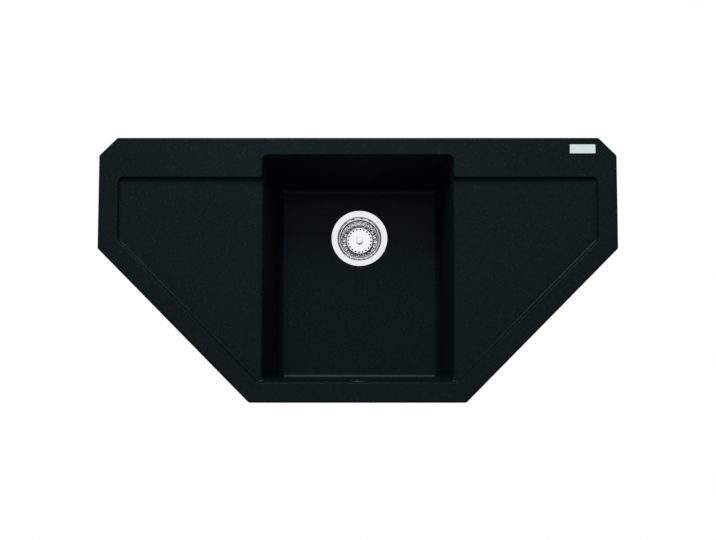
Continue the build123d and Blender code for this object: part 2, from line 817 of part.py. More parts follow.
def hose_joint(part):
    """A nut or washer at each end of the hose, drawn with Z = 0 at the end of the stub or port."""
    upper = Plane(origin=(0, stub_y, stub_bottom), x_dir=(1, 0, 0), z_dir=(0, 0, -1))
    lower = Plane(origin=(0, port_end, port_z), x_dir=(1, 0, 0), z_dir=(0, -1, 0))
    return Compound([upper.location * part, lower.location * part])


def compression_nut():
    """Fluted nut that squeezes the washer round the hose."""
    end = washer_height + nut_wall
    outer = stub_outer + stem_gap + nut_wall
    nut = prism(Circle(outer), end - nut_length, end)
    flute = Pos(outer, 0) * Circle(nut_flute_radius)
    for bar in ring_of(prism(flute, end - nut_length, end - nut_wall / 2), nut_flute_count):
        nut += bar
    nut -= prism(Circle(stub_outer + stem_gap), -overcut, washer_height)
    return nut - prism(Circle(hose_radius + hose_fit_gap), -overcut, overcut)


def hose_washer():
    """Rubber washer between the end of the stub and the nut."""
    return prism(Circle(stub_outer) - Circle(hose_radius), 0, washer_height)


def solid_of(shape):
    """The single solid of a shape."""
    return shape.solids()[0]


def build():
    """All pieces by name."""
    places = clip_places()
    pieces = {
        "sink_body": sink_body(),
        "rim_seal": rim_seal(),
        "badge_plate": badge_plate(),
        "waste_cup": at_waste(0) * waste_cup(),
        "flange_gasket": at_waste(0) * flange_gasket(),
        "body_gasket": at_waste(0) * body_gasket(),
        "waste_body": at_waste(0) * waste_body(),
        "centre_screw": at_waste(0) * centre_screw(),
        "centre_insert": at_waste(0) * centre_insert(),
        "basket": at_waste(0) * basket(),
        "basket_knob": at_waste(0) * basket_knob(),
        "basket_stem": at_waste(0) * basket_stem(),
        "basket_seal": at_waste(0) * basket_seal(),
        "stem_catch": at_waste(0) * stem_catch(),
        "overflow_cover": at_overflow() * rosette(),
        "overflow_screw": at_overflow() * overflow_screw(),
        "overflow_gasket": at_overflow() * overflow_gasket(),
        "overflow_elbow": overflow_elbow(),
        "overflow_hose": hose(),
        "hose_nuts": hose_joint(compression_nut()),
        "hose_washers": hose_joint(hose_washer()),
    }
    bracket, screw, insert = clip_bracket(), anchor_screw(), anchor_insert()
    pieces["clip_brackets"] = Compound([solid_of(at_clip(place) * bracket) for place in places])
    pieces["anchor_screws"] = Compound([solid_of(at_clip(place) * screw) for place in places])
    pieces["anchor_inserts"] = Compound([solid_of(at_clip(place) * insert) for place in places])
    long_screw, jaw = clamp_screw(), clip_jaw()
    for number, place in enumerate(places, 1):
        pieces[f"clamp_screw_{number}"] = at_clip(place) * long_screw
        pieces[f"clip_jaw_{number}"] = at_clip(place) * jaw
    return pieces


if __name__ == "__main__":
    os.makedirs("parts", exist_ok=True)
    for name, shape in build().items():
        export_step(shape, f"parts/{name}.step")
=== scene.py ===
"""Finishes a corner kitchen sink: quartz composite body, steel basket waste, overflow and worktop clips."""

from math import cos, pi, radians, sin, tan

import bmesh
import bpy
from mathutils import Matrix, Vector


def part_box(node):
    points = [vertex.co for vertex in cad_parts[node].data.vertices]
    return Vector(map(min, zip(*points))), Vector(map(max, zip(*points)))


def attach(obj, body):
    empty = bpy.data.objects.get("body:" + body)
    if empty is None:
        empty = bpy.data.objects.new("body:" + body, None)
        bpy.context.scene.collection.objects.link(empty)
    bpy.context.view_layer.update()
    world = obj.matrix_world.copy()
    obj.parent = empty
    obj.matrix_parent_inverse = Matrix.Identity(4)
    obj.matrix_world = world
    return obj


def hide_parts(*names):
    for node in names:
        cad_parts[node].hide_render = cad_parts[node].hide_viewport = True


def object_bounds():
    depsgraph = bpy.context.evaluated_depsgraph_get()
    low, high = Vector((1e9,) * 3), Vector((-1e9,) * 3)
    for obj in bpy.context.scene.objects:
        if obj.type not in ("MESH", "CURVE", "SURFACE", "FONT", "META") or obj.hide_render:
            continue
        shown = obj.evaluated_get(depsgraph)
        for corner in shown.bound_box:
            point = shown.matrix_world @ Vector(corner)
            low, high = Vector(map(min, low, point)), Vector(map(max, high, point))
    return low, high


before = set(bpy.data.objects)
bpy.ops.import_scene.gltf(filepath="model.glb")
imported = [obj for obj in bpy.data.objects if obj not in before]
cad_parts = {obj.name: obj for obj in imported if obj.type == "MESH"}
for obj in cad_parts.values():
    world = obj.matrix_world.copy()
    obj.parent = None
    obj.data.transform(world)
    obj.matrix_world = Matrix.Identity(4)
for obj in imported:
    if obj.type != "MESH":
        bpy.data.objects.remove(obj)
CAD_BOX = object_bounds()

bl_info = {
    "name": "Corner Sink Finish",
    "version": (1, 0, 0),
    "blender": (4, 5, 0),
    "location": "3D View > Sidebar > Corner Sink",
    "description": "Materials, threads and fine pieces of a corner kitchen sink",
    "category": "Object",
}

# ---- Places that come from the frame, in metres ----
KNOB_LOW, KNOB_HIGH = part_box("basket_knob")
WASTE = Vector(((KNOB_LOW[0] + KNOB_HIGH[0]) / 2, (KNOB_LOW[1] + KNOB_HIGH[1]) / 2, 0.0))
BASKET_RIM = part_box("basket")[1][2]
OUTLET_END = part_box("waste_body")[0][2]
SCREWS = sorted(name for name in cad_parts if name.startswith("clamp_screw_"))
JAWS = sorted(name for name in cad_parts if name.startswith("clip_jaw_"))
HOSE_LOW, HOSE_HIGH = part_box("overflow_hose")
HOSE_RADIUS = (HOSE_HIGH[0] - HOSE_LOW[0]) / 2
MM = 0.001
SHADED = "shaded from the softbox"


# ---- Colours that several pieces share ----
RUBBER = (0.018, 0.018, 0.019)
POLYPROPYLENE = (0.74, 0.745, 0.73)
BRASS = (0.62, 0.45, 0.17)


# ---- Shader expressions ----
class Value:
    """A number that varies over a surface, with Python's operators for its maths."""

    def __init__(self, nodes, socket):
        self.nodes = nodes
        self.socket = socket

    def __add__(self, other):
        return self.nodes.maths("ADD", self, other)

    __radd__ = __add__

    def __sub__(self, other):
        return self.nodes.maths("SUBTRACT", self, other)

    def __rsub__(self, other):
        return self.nodes.maths("SUBTRACT", other, self)

    def __mul__(self, other):
        return self.nodes.maths("MULTIPLY", self, other)

    __rmul__ = __mul__

    def __truediv__(self, other):
        return self.nodes.maths("DIVIDE", self, other)

    def __rtruediv__(self, other):
        return self.nodes.maths("DIVIDE", other, self)

    def __pow__(self, other):
        return self.nodes.maths("POWER", self, other)

    def above(self, limit):
        return self.nodes.maths("GREATER_THAN", self, limit)

    def within(self, low, high):
        return self.nodes.maths("MINIMUM", self.nodes.maths("MAXIMUM", self, low), high)


class Nodes:
    """A node tree that is filled one node at a time."""

    def __init__(self, tree):
        self.tree = tree
        self.tree.nodes.clear()

    def node(self, kind, settings, inputs):
        """Adds a node: its settings first, then the values or links of its inputs."""
        made = self.tree.nodes.new(kind)
        for key, setting in settings.items():
            setattr(made, key, setting)
        for key, value in inputs.items():
            self.connect(made.inputs[key], value)
        return made

    def connect(self, socket, value):
        """Links a value into a socket, or sets the socket to a constant."""
        if isinstance(value, Value):
            value = value.socket
        if isinstance(value, bpy.types.NodeSocket):
            self.tree.links.new(value, socket)
        elif isinstance(value, (tuple, list)) and len(value) == 3 and socket.type == "RGBA":
            socket.default_value = (*value, 1.0)
        else:
            socket.default_value = value

    def rays(self):
        """What kind of ray looks at the surface, as numbers."""
        made = self.node("ShaderNodeLightPath", {}, {})
        return {output.name: Value(self, output) for output in made.outputs}

    def maths(self, operation, *values):
        """A number worked out from other numbers."""
        made = self.node("ShaderNodeMath", {"operation": operation}, dict(enumerate(values)))
        return Value(self, made.outputs[0])


class Finish(Nodes):
    """A material built from nodes round one Principled shader."""

    def __init__(self, name, **constants):
        self.material = bpy.data.materials.new(name)
        self.material.use_nodes = True
        super().__init__(self.material.node_tree)
        self.shader = self.node("ShaderNodeBsdfPrincipled", {}, constants)
        self.node("ShaderNodeOutputMaterial", {}, {"Surface": self.shader.outputs[0]})

    def drive(self, name, value):
        """Links a value into the shader."""
        self.connect(self.shader.inputs[name], value)

    def place(self, centre=(0.0, 0.0, 0.0), scale=(1.0, 1.0, 1.0), turn=(0.0, 0.0, 0.0)):
        """The point on the piece, measured from a centre, scaled and turned."""
        coords = self.node("ShaderNodeTexCoord", {}, {})
        shifted = self.node(
            "ShaderNodeVectorMath",
            {"operation": "SUBTRACT"},
            {0: coords.outputs["Object"], 1: tuple(centre)},
        )
        mapped = self.node(
            "ShaderNodeMapping", {}, {"Vector": shifted.outputs[0], "Scale": scale, "Rotation": turn}
        )
        return mapped.outputs[0]

    def facing_up(self):
        """1 where the surface faces up or down and 0 on an upright wall."""
        coords = self.node("ShaderNodeTexCoord", {}, {})
        return self.maths("ABSOLUTE", self.split(coords.outputs["Normal"])[2])

    def split(self, vector):
        """The three numbers of a vector."""
        made = self.node("ShaderNodeSeparateXYZ", {}, {0: vector})
        return [Value(self, output) for output in made.outputs]

    def noise(self, vector, scale, detail=2.0, roughness=0.5):
        """Soft noise about 0.5; scale is in features per metre."""
        made = self.node(
            "ShaderNodeTexNoise",
            {},
            {"Vector": vector, "Scale": scale, "Detail": detail, "Roughness": roughness},
        )
        return Value(self, made.outputs[0])

    def lines(self, along, pitch):
        """Fine lines of uneven strength, one pitch apart along a number."""
        made = self.node(
            "ShaderNodeTexNoise",
            {"noise_dimensions": "1D"},
            {"W": along, "Scale": 1.0 / pitch, "Detail": 2.0},
        )
        return Value(self, made.outputs[0])

    def grains(self, vector, scale):
        """A random number for each grain; scale is in grains per metre."""
        made = self.node("ShaderNodeTexVoronoi", {"feature": "F1"}, {"Vector": vector, "Scale": scale})
        return self.split(made.outputs["Color"])[0]

    def mix(self, share, first, second):
        """A colour between two colours."""
        made = self.node("ShaderNodeMix", {"data_type": "RGBA"}, {0: share, 6: first, 7: second})
        return made.outputs[2]

    def shade(self, value, low, colour):
        """A colour that runs from a darker share of itself at 0.3 up to itself at 0.7."""
        darker = tuple(channel * low for channel in colour)
        return self.mix(((value - 0.3) / 0.4).within(0.0, 1.0), darker, tuple(colour))

    def bump(self, height, distance, strength):
        """Feeds a height, in metres times distance, into the shader's normal."""
        made = self.node("ShaderNodeBump", {}, {"Height": height, "Distance": distance, "Strength": strength})
        self.drive("Normal", made.outputs[0])


# ---- Finishes ----
def quartz_composite(settings):
    """Black quartz and resin: fine mineral grain, a faint gloss and a slightly pebbled skin."""
    tint = tuple(settings.composite_colour)
    sheen = {"Specular IOR Level": settings.composite_gloss, "Specular Tint": (0.75, 1.0, 1.1)}
    finish = Finish("quartz_composite", **sheen)
    place = finish.place()
    warped = finish.place(scale=(1.0, 1.0, 1.35), turn=(0.3, 0.2, 0.5))
    size = settings.grain_size
    grain = finish.grains(place, 1.0 / size)
    coarse = finish.grains(warped, 0.45 / size)
    cloud = finish.noise(place, 9.0, 3.0)
    pale = tuple(channel * 1.25 for channel in tint)
    base = finish.shade(0.2 + 0.5 * grain + 0.2 * cloud, 0.62, pale)
    flake = ((coarse - settings.flake_start) * 40.0).within(0.0, 1.0)
    finish.drive("Base Color", finish.mix(flake, base, tuple(settings.flake_colour)))
    upright = 1.0 - finish.facing_up()
    finish.drive("Roughness", 0.24 + 0.05 * grain + 0.05 * (cloud - 0.5) + settings.wall_roughness * upright)
    pebble = finish.noise(place, 0.7 / size, 2.0)
    finish.bump(pebble + 0.35 * grain, size * 0.16, 0.45)
    return finish.material


def brushed_round(name, colour, settings):
    """Steel brushed in circles round the waste's axis, and polished inside the cup."""
    finish = Finish(name, Metallic=1.0)
    x, y, z = finish.split(finish.place(centre=WASTE))
    radius = (x * x + y * y) ** 0.5
    flange = radius.above(settings.flange_inner)
    lines = finish.lines(radius + z, settings.brush_pitch)
    stain = finish.noise(finish.place(), 60.0, 3.0)
    finish.drive("Base Color", finish.shade(lines * 0.6 + stain * 0.4, 0.93, colour))
    finish.drive("Roughness", 0.07 + 0.02 * flange + 0.04 * lines + 0.02 * stain)
    finish.bump(lines * (0.2 + 0.8 * flange), settings.brush_pitch * 0.06, 0.2)
    return finish.material


def brushed_straight(name, colour, grain_scale, roughness):
    """Steel brushed in straight lines."""
    finish = Finish(name, Metallic=1.0)
    lines = finish.noise(finish.place(scale=grain_scale), 1.0, 3.0)
    stain = finish.noise(finish.place(), 90.0, 2.0)
    finish.drive("Base Color", finish.shade(lines * 0.7 + stain * 0.3, 0.93, colour))
    finish.drive("Roughness", roughness - 0.03 + 0.06 * lines)
    finish.bump(lines, 0.00001, 0.25)
    return finish.material


def polished(name, colour, roughness):
    """Polished stainless steel with fine wear."""
    finish = Finish(name, Metallic=1.0)
    place = finish.place()
    haze = finish.noise(place, 220.0, 3.0)
    scratch = finish.noise(finish.place(scale=(1.0, 9.0, 4.0), turn=(0.2, 0.5, 0.9)), 900.0, 2.0)
    finish.drive("Base Color", finish.shade(haze, 0.95, colour))
    finish.drive("Roughness", roughness + 0.05 * haze + 0.04 * scratch)
    finish.bump(scratch, 0.000006, 0.15)
    return finish.material


def plated(name, colour, roughness, metallic=1.0):
    """Zinc-plated or die-cast metal with a clouded, lightly grained skin."""
    finish = Finish(name, Metallic=metallic)
    place = finish.place()
    spangle = finish.grains(place, 700.0)
    cloud = finish.noise(place, 120.0, 4.0)
    finish.drive("Base Color", finish.shade(cloud * 0.8 + spangle * 0.2, 0.78, colour))
    finish.drive("Roughness", roughness - 0.08 + 0.16 * cloud + 0.06 * spangle)
    finish.bump(cloud + 0.3 * spangle, 0.00006, 0.4)
    return finish.material


def moulded(name, colour, roughness, texture):
    """Moulded plastic or rubber: an even colour with a fine texture from the mould."""
    finish = Finish(name, Metallic=0.0)
    place = finish.place()
    cloud = finish.noise(place, 45.0, 3.0)
    skin = finish.noise(place, 1600.0, 2.0)
    finish.drive("Base Color", finish.shade(cloud * 0.8 + skin * 0.2, 0.88, colour))
    finish.drive("Roughness", roughness - 0.05 + 0.1 * cloud + 0.05 * skin)
    finish.bump(skin, texture, 0.5)
    return finish.material


def paint(material, *nodes):
    """Gives pieces of the frame their material."""
    for node in nodes:
        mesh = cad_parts[node].data
        mesh.materials.clear()
        mesh.materials.append(material)


# ---- Mesh building ----
def outline(bm, points, bends):
    """A closed outline in the XZ plane, in millimetres, with some of its corners rounded."""
    places = [Vector((x, 0.0, z)) * MM for x, z in points]
    corners = [bm.verts.new(place) for place in places]
    bm.faces.new(corners)
    for index, radius in bends.items():
        after = places[(index + 1) % len(places)] - places[index]
        opening = after.angle(places[index - 1] - places[index])
        bmesh.ops.bevel(
            bm,
            geom=[corners[index]],
            offset=radius * MM / tan(opening / 2),
            offset_type="OFFSET",
            segments=6,
            profile=0.5,
            affect="VERTICES",
            material=-1,
        )
    bmesh.ops.delete(bm, geom=bm.faces[:], context="FACES_ONLY")


def revolve(bm, steps):
    """Turns the outline once round the Z axis."""
    geometry = bm.verts[:] + bm.edges[:]
    bmesh.ops.spin(
        bm, geom=geometry, cent=(0, 0, 0), axis=(0, 0, 1), angle=2 * pi, steps=steps, use_merge=True
    )
    bmesh.ops.remove_doubles(bm, verts=bm.verts, dist=1e-7)
    loose = [edge for edge in bm.edges if not edge.link_faces]
    bmesh.ops.delete(bm, geom=loose, context="EDGES")


def repeat_round(bm, count):
    """Repeats everything in the bmesh round the Z axis."""
    bmesh.ops.spin(
        bm,
        geom=bm.verts[:] + bm.edges[:] + bm.faces[:],
        cent=(0, 0, 0),
        axis=(0, 0, 1),
        angle=2 * pi * (count - 1) / count,
        steps=count - 1,
        use_duplicate=True,
    )


def thread(bm, core, crest, lead, low, high, starts, segments):
    """Adds helical ridges round the Z axis, in millimetres, that drop as they turn anticlockwise."""
    turns = (high - low) / lead
    steps = int(segments * turns)
    width = lead / starts
    for start in range(starts):
        ridge = bmesh.new()
        section = [(core - 0.2, -0.4), (crest, -0.12), (crest, 0.12), (core - 0.2, 0.4)]
        corners = [ridge.verts.new((r * MM, 0.0, (high + share * width) * MM)) for r, share in section]
        first = ridge.faces.new(corners)
        bmesh.ops.spin(
            ridge,
            geom=ridge.verts[:] + ridge.edges[:] + [first],
            cent=(0, 0, 0),
            axis=(0, 0, 1),
            dvec=(0.0, 0.0, (low - high) / steps * MM),
            angle=2 * pi * turns,
            steps=steps,
        )
        turn = Matrix.Rotation(2 * pi * start / starts, 4, "Z")
        bmesh.ops.transform(ridge, matrix=turn, verts=ridge.verts)
        bmesh.ops.recalc_face_normals(ridge, faces=ridge.faces)
        part = bpy.data.meshes.new("ridge")
        ridge.to_mesh(part)
        ridge.free()
        bm.from_mesh(part)
        bpy.data.meshes.remove(part)


def route(corners, step):
    """Places and directions along straight runs joined by arcs, one step apart."""
    runs = [b - a for a, b in zip(corners, corners[1:])]
    pieces, start = [], corners[0]
    for corner, before, after in zip(corners[1:-1], runs, runs[1:]):
        reach = 0.45 * min(before.length, after.length)
        enter, leave = corner - before.normalized() * reach, corner + after.normalized() * reach
        pieces.append((start, None, enter))
        pieces.append((enter, corner, leave))
        start = leave
    pieces.append((start, None, corners[-1]))
    points = []
    for start, corner, end in pieces:
        count = max(2, int((end - start).length / step))
        for index in range(count):
            share = index / count
            if corner is None:
                points.append(start.lerp(end, share))
            else:
                points.append(start.lerp(corner, share).lerp(corner.lerp(end, share), share))
    points.append(corners[-1])
    aims = [(b - a).normalized() for a, b in zip(points, points[1:])]
    return list(zip(points, aims + aims[-1:]))


def new_object(name, bm):
    """A shown object with the bmesh as its mesh."""
    bmesh.ops.remove_doubles(bm, verts=bm.verts, dist=1e-7)
    bmesh.ops.recalc_face_normals(bm, faces=bm.faces)
    mesh = bpy.data.meshes.new(name)
    bm.to_mesh(mesh)
    bm.free()
    made = bpy.data.objects.new(name, mesh)
    bpy.context.scene.collection.objects.link(made)
    return made


def cut(piece, tool_bm):
    """Cuts a piece with a bmesh."""
    tool = new_object("tool", tool_bm)
    modifier = piece.modifiers.new("cut", "BOOLEAN")
    modifier.operation = "DIFFERENCE"
    modifier.solver = "EXACT"
    modifier.object = tool
    drawn = piece.evaluated_get(bpy.context.evaluated_depsgraph_get())
    whole = piece.data
    piece.data = bpy.data.meshes.new_from_object(drawn)
    piece.modifiers.clear()
    for mesh in (whole, tool.data):
        bpy.data.meshes.remove(mesh)


def seat(piece, body, slot, material, *replaced):
    """Shades a piece, paints it and lets it ride on its body."""
    mesh = piece.data
    mesh.shade_smooth()
    mesh.set_sharp_from_angle(angle=radians(33.0))
    mesh.materials.clear()
    mesh.materials.append(material)
    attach(piece, body)
    if replaced:
        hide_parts(*replaced)


def shade_from_softbox(*pieces):
    """Keeps the softbox's burnt-out reflection off polished pieces, which still mirror the room."""
    group = bpy.data.collections[SHADED]
    for piece in pieces:
        group.objects.link(piece)
        group.collection_objects[-1].light_linking.link_state = "EXCLUDE"


# ---- Settings ----
class CornerSinkSettings(bpy.types.PropertyGroup):
    """Sizes and colours of the sink's finish, its stage and its light."""

    composite_colour: bpy.props.FloatVectorProperty(
        name="Composite",
        description="Colour of the quartz composite",
        subtype="COLOR",
        size=3,
        min=0.0,
        max=1.0,
        default=(0.0032, 0.0072, 0.0088),
    )
    composite_gloss: bpy.props.FloatProperty(
        name="Composite gloss",
        description="Specular level of the composite's surface",
        subtype="FACTOR",
        min=0.0,
        max=1.0,
        default=0.06,
    )
    wall_roughness: bpy.props.FloatProperty(
        name="Wall roughness",
        description="How much rougher the composite is on upright walls",
        subtype="FACTOR",
        min=0.0,
        max=0.7,
        default=0.45,
    )
    flake_colour: bpy.props.FloatVectorProperty(
        name="Flakes",
        description="Colour of the paler mineral flakes",
        subtype="COLOR",
        size=3,
        min=0.0,
        max=1.0,
        default=(0.014, 0.018, 0.02),
    )
    flake_start: bpy.props.FloatProperty(
        name="Flake share",
        description="Share of the grains that stay dark",
        subtype="FACTOR",
        min=0.0,
        max=1.0,
        default=0.94,
    )
    grain_size: bpy.props.FloatProperty(
        name="Grain size",
        description="Size of one mineral grain",
        unit="LENGTH",
        min=1e-5,
        default=0.0007,
    )
    steel_colour: bpy.props.FloatVectorProperty(
        name="Steel",
        description="Colour of the stainless steel",
        subtype="COLOR",
        size=3,
        min=0.0,
        max=1.0,
        default=(0.86, 0.885, 0.895),
    )
    plate_colour: bpy.props.FloatVectorProperty(
        name="Plate",
        description="Colour of the small plate on the tap ledge",
        subtype="COLOR",
        size=3,
        min=0.0,
        max=1.0,
        default=(0.66, 0.76, 0.78),
    )
    flange_inner: bpy.props.FloatProperty(
        name="Flange",
        description="Radius where the waste's flange turns down into the cup",
        unit="LENGTH",
        min=0.0,
        default=0.0445,
    )
    brush_pitch: bpy.props.FloatProperty(
        name="Brush lines",
        description="Distance between the brushed lines",
        unit="LENGTH",
        min=1e-5,
        default=0.0004,
    )
    basket_slot: bpy.props.FloatVectorProperty(
        name="Basket slots",
        description="Width and length of the slots in the basket's wall",
        unit="LENGTH",
        size=2,
        min=0.0,
        default=(0.0069, 0.0180),
    )
    basket_hole: bpy.props.FloatProperty(
        name="Basket holes",
        description="Radius of the small holes in the basket's floor",
        unit="LENGTH",
        min=0.0,
        default=0.0018,
    )
    basket_openings: bpy.props.IntProperty(
        name="Basket openings", description="Number of slots, and of small holes", min=3, default=20
    )
    basket_turn: bpy.props.FloatProperty(
        name="Basket turn",
        description="Direction of one slot, anticlockwise from the right",
        subtype="ANGLE",
        default=radians(95.9),
    )
    thread_lead: bpy.props.FloatProperty(
        name="Screw lead",
        description="Climb of a clip's jaw for one turn of its screw",
        unit="LENGTH",
        min=0.001,
        default=0.005,
    )
    hose_wave: bpy.props.FloatProperty(
        name="Hose wave",
        description="Distance between the rings of the corrugated hose",
        unit="LENGTH",
        min=0.001,
        default=0.005,
    )
    hose_groove: bpy.props.FloatProperty(
        name="Hose groove",
        description="Depth of the grooves between the hose's rings",
        unit="LENGTH",
        min=0.0,
        default=0.0009,
    )
    camera_place: bpy.props.FloatVectorProperty(
        name="Camera place",
        description="Place of the camera above the sink, a little in front of its middle",
        subtype="XYZ",
        unit="LENGTH",
        size=3,
        default=(0.0388, -0.370, 2.3419),
    )
    camera_tilt: bpy.props.FloatProperty(
        name="Camera tilt", description="Tilt towards the rear", subtype="ANGLE", default=radians(5.0)
    )
    camera_lens: bpy.props.FloatProperty(
        name="Lens", description="Focal length on a 36 mm sensor, in millimetres", default=63.44
    )
    camera_shift: bpy.props.FloatVectorProperty(
        name="Shift", description="Sideways and upward shift of the view", size=2, default=(-0.0287, 0.1219)
    )
    key_power: bpy.props.FloatProperty(
        name="Softbox power", description="Power of the softbox", unit="POWER", default=47.0
    )
    key_size: bpy.props.FloatVectorProperty(
        name="Softbox size",
        description="Width and height of the softbox",
        unit="LENGTH",
        size=2,
        default=(0.93, 1.0),
    )
    key_distance: bpy.props.FloatProperty(
        name="Softbox distance", description="Distance of the softbox", unit="LENGTH", default=2.4
    )
    key_elevation: bpy.props.FloatProperty(
        name="Softbox height",
        description="Angle of the softbox above the rim",
        subtype="ANGLE",
        default=radians(46.0),
    )
    key_swing: bpy.props.FloatProperty(
        name="Softbox swing",
        description="Turn of the softbox to the left",
        subtype="ANGLE",
        default=radians(5.0),
    )
    world_level: bpy.props.FloatProperty(
        name="Surroundings", description="Brightness of the room round the sink", default=0.25
    )
    ceiling_edge: bpy.props.FloatProperty(
        name="Ceiling edge",
        description="Sine of the height above which reflections see the white ceiling",
        min=0.0,
        max=1.0,
        default=0.80,
    )
    mirror_level: bpy.props.FloatProperty(
        name="Mirrored room",
        description="Brightness of the room below the ceiling in reflections",
        default=0.35,
    )


# ---- Operators ----
class SINK_OT_stage(bpy.types.Operator):
    """Sets the camera, one large softbox, a dim room and a plain white floor."""

    bl_idname = "corner_sink.stage"
    bl_label = "Stage"

    def execute(self, context):
        s = context.scene.corner_sink
        data = bpy.data.cameras.new("camera")
        data.sensor_width = 36.0
        data.lens = s.camera_lens
        data.shift_x, data.shift_y = s.camera_shift
        data.clip_end = 50.0
        camera = bpy.data.objects.new("camera", data)
        camera.location = s.camera_place
        camera.rotation_euler = (s.camera_tilt, 0.0, 0.0)
        context.scene.collection.objects.link(camera)
        context.scene.camera = camera

        light = bpy.data.lights.new("softbox", "AREA")
        light.shape = "RECTANGLE"
        light.size, light.size_y = s.key_size
        light.energy = s.key_power
        lamp = bpy.data.objects.new("softbox", light)
        lift, swing = s.key_elevation, s.key_swing
        away = Vector((-cos(lift) * sin(swing), cos(lift) * cos(swing), sin(lift)))
        lamp.location = Vector((0.0, 0.0, -0.1)) + away * s.key_distance
        lamp.rotation_euler = away.to_track_quat("Z", "Y").to_euler()
        lamp.visible_camera = False
        lamp.light_linking.receiver_collection = bpy.data.collections.new(SHADED)
        context.scene.collection.objects.link(lamp)

        white = (1.0, 1.0, 1.0)
        world = context.scene.world or bpy.data.worlds.new("room")
        context.scene.world = world
        world.use_nodes = True
        room = Nodes(world.node_tree)
        path = room.rays()
        # The camera sees white and reflections see a white ceiling over a dimmer room.
        # Everything else is lit evenly.
        coords = room.node("ShaderNodeTexCoord", {}, {})
        height = Value(room, room.node("ShaderNodeSeparateXYZ", {}, {0: coords.outputs[0]}).outputs[2])
        overhead = ((height - s.ceiling_edge) / 0.12).within(s.mirror_level, 1.0)
        seen = room.maths("MAXIMUM", path["Is Camera Ray"], path["Is Glossy Ray"] * overhead)
        lit = room.maths("MULTIPLY", room.maths("SUBTRACT", 1.0, path["Is Glossy Ray"]), s.world_level)
        level = room.maths("MAXIMUM", seen, lit)
        sky = room.node("ShaderNodeBackground", {}, {"Color": white, "Strength": level})
        room.node("ShaderNodeOutputWorld", {}, {"Surface": sky.outputs[0]})

        bm = bmesh.new()
        bmesh.ops.create_grid(bm, x_segments=1, y_segments=1, size=6.0)
        bmesh.ops.translate(bm, verts=bm.verts, vec=(0.0, 0.0, CAD_BOX[0][2] - 0.004))
        floor = new_object("floor", bm)
        paper = bpy.data.materials.new("floor_white")
        paper.use_nodes = True
        sheet = Nodes(paper.node_tree)
        path = sheet.rays()
        seen = sheet.maths("MAXIMUM", path["Is Camera Ray"], path["Is Glossy Ray"]) * 0.99
        matt = sheet.node("ShaderNodeBsdfDiffuse", {}, {"Color": (0.86, 0.86, 0.86)})
        glow = sheet.node("ShaderNodeEmission", {}, {"Color": white, "Strength": 1.0})
        mixed = sheet.node("ShaderNodeMixShader", {}, {0: seen, 1: matt.outputs[0], 2: glow.outputs[0]})
        sheet.node("ShaderNodeOutputMaterial", {}, {"Surface": mixed.outputs[0]})
        floor.data.materials.append(paper)

        context.scene.view_settings.view_transform = "Standard"
        return {"FINISHED"}


class SINK_OT_body(bpy.types.Operator):
    """Gives the moulded body its quartz composite and the plain plate its brushed steel."""

    bl_idname = "corner_sink.body"
    bl_label = "Moulded body and plate"

    def execute(self, context):
        s = context.scene.corner_sink
        paint(quartz_composite(s), "sink_body")
        paint(brushed_straight("plate_steel", s.plate_colour, (60.0, 4000.0, 600.0), 0.16), "badge_plate")
        paint(moulded("seal_foam", (0.03, 0.03, 0.032), 0.9, 0.0002), "rim_seal")
        return {"FINISHED"}


class SINK_OT_cup(bpy.types.Operator):
    """Finishes the waste cup, its gaskets and the moulded waste body, and threads the outlet."""

    bl_idname = "corner_sink.cup"
    bl_label = "Waste cup and body"

    def execute(self, context):
        s = context.scene.corner_sink
        paint(brushed_round("cup_steel", s.steel_colour, s), "waste_cup")
        shade_from_softbox(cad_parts["waste_cup"])
        paint(polished("screw_steel", s.steel_colour, 0.14), "centre_screw")
        paint(plated("brass", BRASS, 0.32), "centre_insert")
        rubber = moulded("gasket_rubber", RUBBER, 0.7, 0.00005)
        paint(rubber, "flange_gasket", "body_gasket")
        white = moulded("waste_polypropylene", POLYPROPYLENE, 0.42, 0.00003)
        paint(white, "waste_body")
        bm = bmesh.new()
        thread(bm, 23.7, 24.5, 2.309, 1.5, 27.0, 1, 48)
        bmesh.ops.translate(bm, verts=bm.verts, vec=WASTE + Vector((0.0, 0.0, OUTLET_END)))
        seat(new_object("outlet_thread", bm), "sink", "waste_plastic", white)
        return {"FINISHED"}


